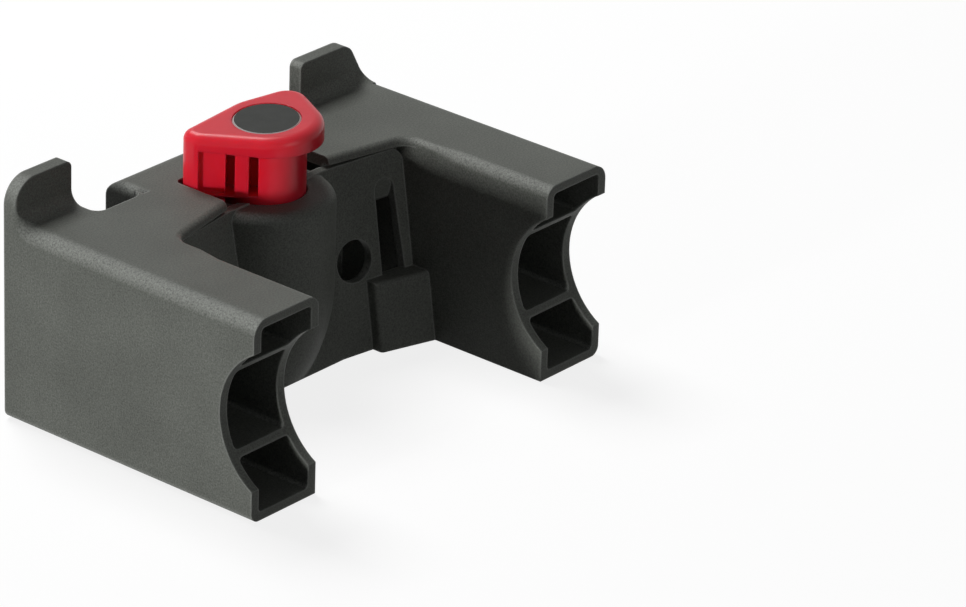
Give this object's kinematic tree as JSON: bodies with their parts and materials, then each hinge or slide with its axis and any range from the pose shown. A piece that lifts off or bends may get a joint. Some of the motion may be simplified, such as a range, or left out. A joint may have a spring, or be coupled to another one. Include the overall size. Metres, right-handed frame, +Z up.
{
  "type": "bicycle handlebar bag mount",
  "caption": "Hollow moulded bicycle handlebar bag mount: two arms with bar saddles, a guide front for the bag's plate and a sprung red release button in a barrel.",
  "frame": {"origin": "on the saddles' deepest line, where the handlebar rests, midway between the two arms", "axes": "+X along the handlebar towards the far arm, +Y ahead to the bag, +Z up"},
  "size_m": [0.103, 0.065, 0.0548],
  "materials": {
    "housing_plastic": "fine-grained glass-filled nylon",
    "button_plastic": "polished mould",
    "badge_plastic": "satin with a bevelled rim",
    "screw_steel": "black oxide",
    "washer_steel": "stamped and zinc plated",
    "spring_steel": "drawn wire"
  },
  "bodies": {
    "mount": {"body": "housing_plastic", "return_spring": "spring_steel", "near_upper_screw_washer": "washer_steel", "near_lower_screw_washer": "washer_steel", "far_upper_screw_washer": "washer_steel", "far_lower_screw_washer": "washer_steel"},
    "button": {"push_button": "button_plastic", "button_badge": "badge_plastic", "retaining_screw": "screw_steel", "retaining_washer": "washer_steel"},
    "near_upper_screw": {"near_upper_clamp_screw": "screw_steel"},
    "near_lower_screw": {"near_lower_clamp_screw": "screw_steel"},
    "far_upper_screw": {"far_upper_clamp_screw": "screw_steel"},
    "far_lower_screw": {"far_lower_clamp_screw": "screw_steel"}
  },
  "joints": [
    {"name": "button_press", "type": "slide", "parent": "mount", "child": "button", "axis": [0, 0, -1], "range_m": [0, 0.005], "stiffness_N_per_m": 800, "springref_m": -0.005, "deforming": ["return_spring"]},
    {"name": "near_upper_screw_turn", "type": "hinge", "parent": "mount", "child": "near_upper_screw", "pos_m": [-0.0425, 0.0501, 0.0144], "axis": [0, 1, 0], "continuous": true},
    {"name": "near_lower_screw_turn", "type": "hinge", "parent": "mount", "child": "near_lower_screw", "pos_m": [-0.0425, 0.0501, -0.0144], "axis": [0, 1, 0], "continuous": true},
    {"name": "far_upper_screw_turn", "type": "hinge", "parent": "mount", "child": "far_upper_screw", "pos_m": [0.0425, 0.0501, 0.0144], "axis": [0, 1, 0], "continuous": true},
    {"name": "far_lower_screw_turn", "type": "hinge", "parent": "mount", "child": "far_lower_screw", "pos_m": [0.0425, 0.0501, -0.0144], "axis": [0, 1, 0], "continuous": true}
  ]
}
